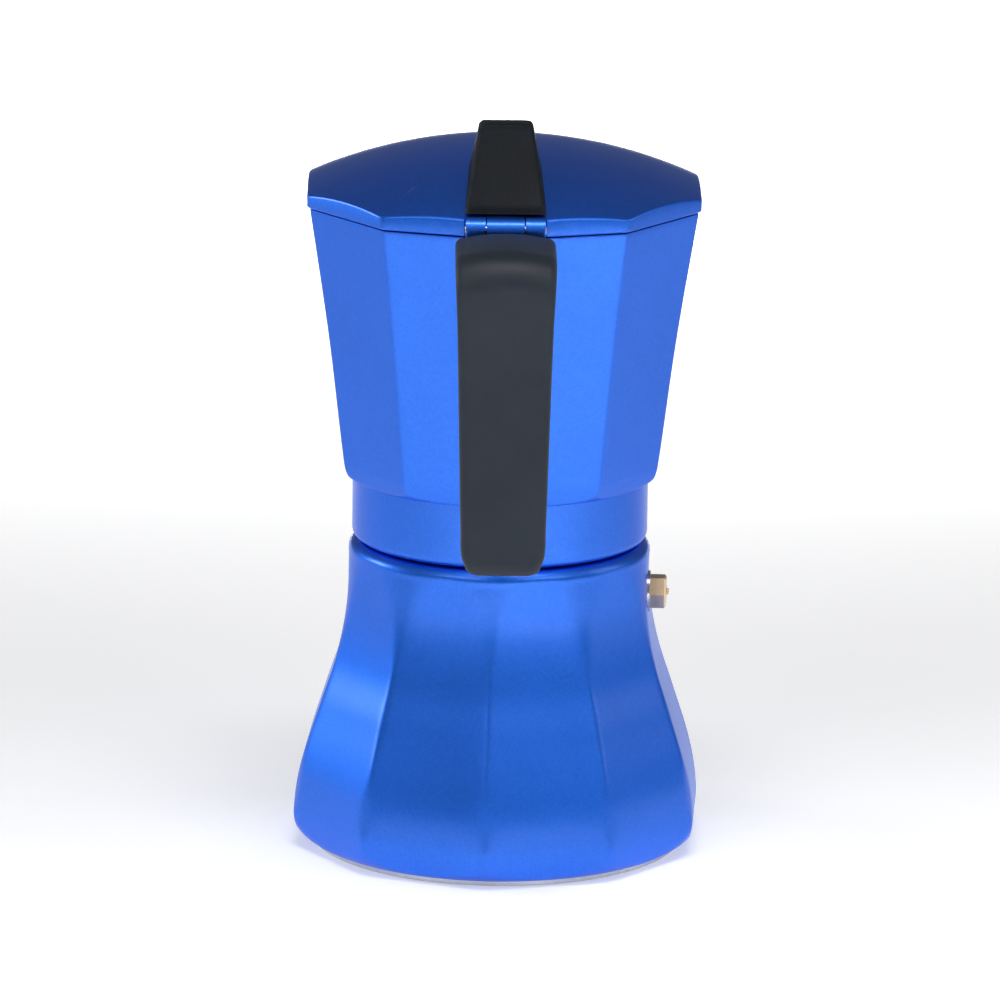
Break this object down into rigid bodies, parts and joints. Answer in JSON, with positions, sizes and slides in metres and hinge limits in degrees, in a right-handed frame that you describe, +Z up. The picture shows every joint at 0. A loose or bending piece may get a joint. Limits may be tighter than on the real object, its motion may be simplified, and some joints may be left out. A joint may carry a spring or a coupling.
{
  "type": "stove-top coffee maker",
  "caption": "Ten-sided stove-top moka coffee pot with flared boiler, screw-on upper chamber, hinged domed lid, thumb lever, strap handle and brass safety valve.",
  "frame": {"origin": "centre of the base disc's underside, on the surface that the pot stands on", "axes": "+Z up along the pot's axis; -Y towards the handle, +Y towards the spout, +X nearly along the safety valve"},
  "size_m": [0.1066, 0.155, 0.1981],
  "materials": {
    "blue_lacquer": "metallic blue lacquer, satin",
    "bare_aluminium": "spun and turned",
    "steel": "fine brushed",
    "brass": "turned, slightly dull",
    "silicone": "matt silicone",
    "soft_black": "soft-touch coated",
    "lever_black": "fine matt moulding"
  },
  "bodies": {
    "boiler": {"boiler": "blue_lacquer", "base_disc": "steel", "valve_body": "brass", "valve_washer": "steel", "valve_cap": "brass", "valve_spring": "steel"},
    "valve_pin": {"valve_pin": "brass"},
    "funnel": {"funnel": "bare_aluminium", "funnel_plate": "bare_aluminium"},
    "seal": {"seal_ring": "silicone", "filter_plate": "bare_aluminium"},
    "upper": {"upper_chamber": "blue_lacquer", "handle": "soft_black", "handle_screw": "steel", "hinge_pin": "steel"},
    "lid": {"lid": "blue_lacquer", "lid_lever": "lever_black", "lever_inserts": "brass", "lever_screws": "steel", "lever_washers": "steel"}
  },
  "joints": [
    {"name": "upper_lift", "type": "slide", "parent": "boiler", "child": "seal", "axis": [0, 0, 1], "range_m": [0, 0.184]},
    {"name": "upper_turn", "type": "hinge", "parent": "seal", "child": "upper", "pos_m": [0, 0, 0.09], "axis": [0, 0, 1], "range_deg": [0, 540]},
    {"name": "lid_hinge", "type": "hinge", "parent": "upper", "child": "lid", "pos_m": [0, -0.0529, 0.1742], "axis": [1, 0, 0], "range_deg": [0, 105]},
    {"name": "funnel_lift", "type": "slide", "parent": "boiler", "child": "funnel", "axis": [0, 0, 1], "range_m": [0, 0.092]},
    {"name": "valve_slide", "type": "slide", "parent": "boiler", "child": "valve_pin", "axis": [0.9981, -0.061, 0], "range_m": [0, 0.0012], "stiffness_N_per_m": 500, "springref_m": -0.0028, "deforming": ["valve_spring"]}
  ],
  "couplings": [
    {"joint": "funnel_lift", "follows": "upper_lift", "ratio": 0.5}
  ]
}
